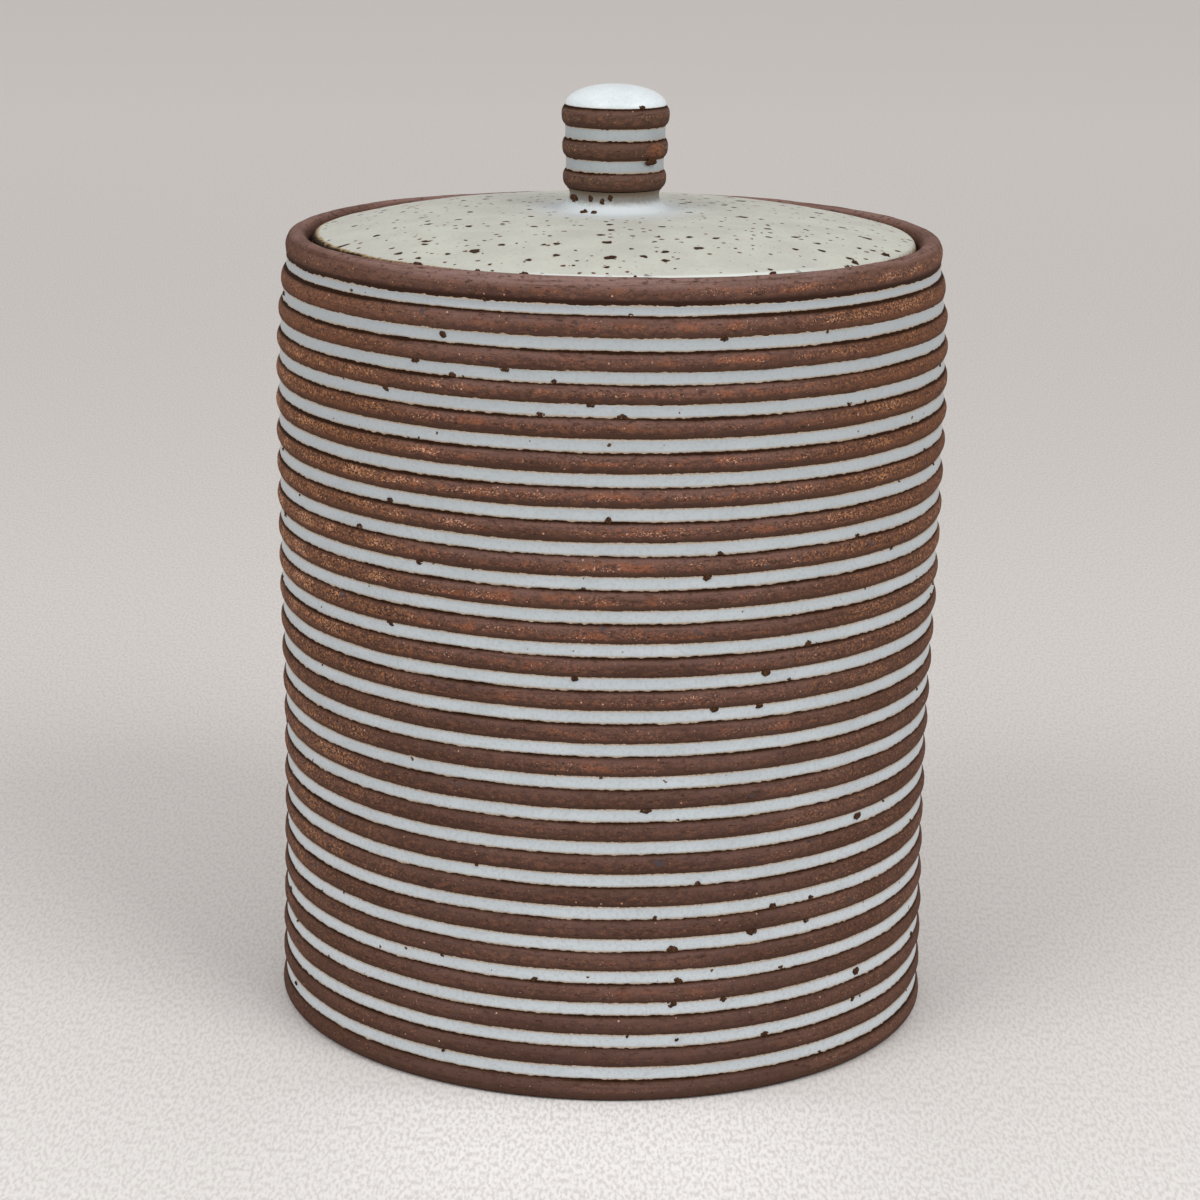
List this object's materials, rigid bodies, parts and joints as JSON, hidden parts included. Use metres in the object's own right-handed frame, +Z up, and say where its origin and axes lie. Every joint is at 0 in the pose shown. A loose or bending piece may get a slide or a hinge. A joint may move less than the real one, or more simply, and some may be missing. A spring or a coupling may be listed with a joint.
{
  "type": "lidded jar",
  "caption": "Round stoneware storage jar with a beaded wall, pale glaze in its grooves, and a lift-off lid with a beaded knob that sits down inside the rim.",
  "frame": {"origin": "middle of the foot, on the surface that the jar stands on", "axes": "+Z up along the jar's axis, from the foot to the knob"},
  "size_m": [0.1872, 0.1872, 0.2604],
  "materials": {
    "bare_stoneware": "matte",
    "band_glaze": "satin",
    "lid_glaze": "satin",
    "liner_glaze": "satin"
  },
  "bodies": {
    "jar": {"jar_body": "bare_stoneware", "liner_glaze": "liner_glaze", "glaze_band_01": "band_glaze", "glaze_band_02": "band_glaze", "glaze_band_03": "band_glaze", "glaze_band_04": "band_glaze", "glaze_band_05": "band_glaze", "glaze_band_06": "band_glaze", "glaze_band_07": "band_glaze", "glaze_band_08": "band_glaze", "glaze_band_09": "band_glaze", "glaze_band_10": "band_glaze", "glaze_band_11": "band_glaze", "glaze_band_12": "band_glaze", "glaze_band_13": "band_glaze", "glaze_band_14": "band_glaze", "glaze_band_15": "band_glaze", "glaze_band_16": "band_glaze", "glaze_band_17": "band_glaze", "glaze_band_18": "band_glaze", "glaze_band_19": "band_glaze", "glaze_band_20": "band_glaze", "glaze_band_21": "band_glaze", "glaze_band_22": "band_glaze", "glaze_band_23": "band_glaze", "glaze_band_24": "band_glaze"},
    "lid": {"lid_plate": "bare_stoneware", "lid_glaze": "lid_glaze", "lid_under_glaze": "liner_glaze", "knob": "bare_stoneware", "knob_glaze_upper": "band_glaze", "knob_glaze_lower": "band_glaze", "knob_cap_glaze": "band_glaze"}
  },
  "joints": [
    {"name": "lid_lift", "type": "slide", "parent": "jar", "child": "lid", "axis": [0, 0, 1], "range_m": [0, 0.2]}
  ]
}
